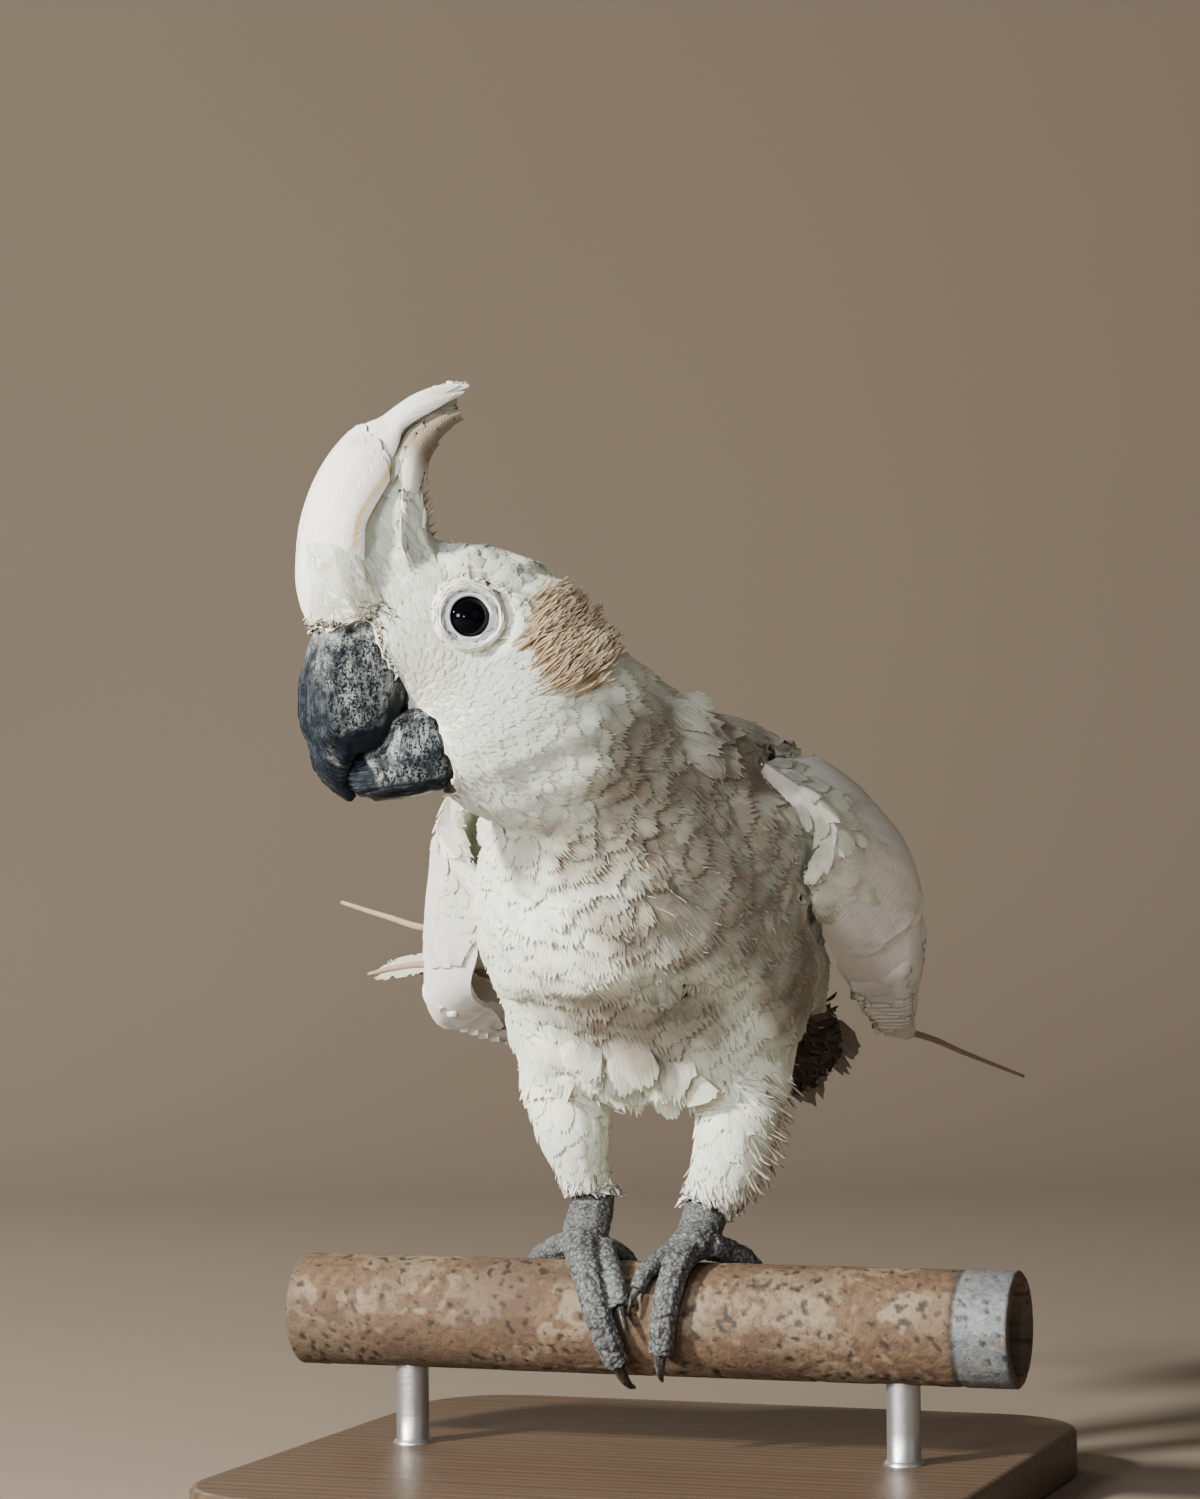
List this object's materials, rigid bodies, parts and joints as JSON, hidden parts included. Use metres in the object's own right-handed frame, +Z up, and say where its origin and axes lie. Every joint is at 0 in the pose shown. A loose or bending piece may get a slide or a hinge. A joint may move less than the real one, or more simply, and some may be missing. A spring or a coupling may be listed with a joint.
{
  "type": "perched cockatoo model",
  "caption": "Life-size still cockatoo, head turned and tipped down, crest raised, gripping a cut length of steel tube on a plain stand.",
  "frame": {"origin": "centre of the stand base's underside, straight below the middle of the perch tube", "axes": "+Z up; the bird's breast faces -Y and its tail +Y; +X is the bird's left, along the perch tube"},
  "size_m": [0.2087, 0.2931, 0.26],
  "materials": {
    "white_plumage": "matt",
    "buff_plumage": "matt",
    "flight_feathers": "matt",
    "crest_feathers": "matt",
    "bill_horn": "satin",
    "eye_gloss": "gloss",
    "bare_skin": "matt",
    "foot_skin": "matt",
    "claw_horn": "satin",
    "feather_shaft": "satin",
    "rusty_steel": "rough",
    "stained_wood": "satin",
    "rod_steel": "satin"
  },
  "bodies": {
    "root": {"head": "white_plumage", "neck": "buff_plumage", "trunk": "white_plumage", "tail": "flight_feathers", "bill_upper": "bill_horn", "bill_lower": "bill_horn", "crest_front": "crest_feathers", "crest_long": "crest_feathers", "crest_back": "crest_feathers", "eye_left": "eye_gloss", "eye_ring_left": "bare_skin", "wing_left_coverts": "flight_feathers", "wing_left_secondaries": "flight_feathers", "wing_left_primaries": "flight_feathers", "shank_left": "white_plumage", "foot_left": "foot_skin", "toe_left_front_outer": "foot_skin", "claw_left_front_outer": "claw_horn", "toe_left_front_inner": "foot_skin", "claw_left_front_inner": "claw_horn", "toe_left_back_outer": "foot_skin", "claw_left_back_outer": "claw_horn", "toe_left_back_inner": "foot_skin", "claw_left_back_inner": "claw_horn", "eye_right": "eye_gloss", "eye_ring_right": "bare_skin", "wing_right_coverts": "flight_feathers", "wing_right_secondaries": "flight_feathers", "wing_right_primaries": "flight_feathers", "shank_right": "white_plumage", "foot_right": "foot_skin", "toe_right_front_outer": "foot_skin", "claw_right_front_outer": "claw_horn", "toe_right_front_inner": "foot_skin", "claw_right_front_inner": "claw_horn", "toe_right_back_outer": "foot_skin", "claw_right_back_outer": "claw_horn", "toe_right_back_inner": "foot_skin", "claw_right_back_inner": "claw_horn", "quill_right_bare": "feather_shaft", "quill_right_frayed": "flight_feathers", "quill_left_bare": "feather_shaft", "perch_tube": "rusty_steel", "stand_base": "stained_wood", "stand_rod_left": "rod_steel", "stand_rod_right": "rod_steel"}
  },
  "joints": []
}
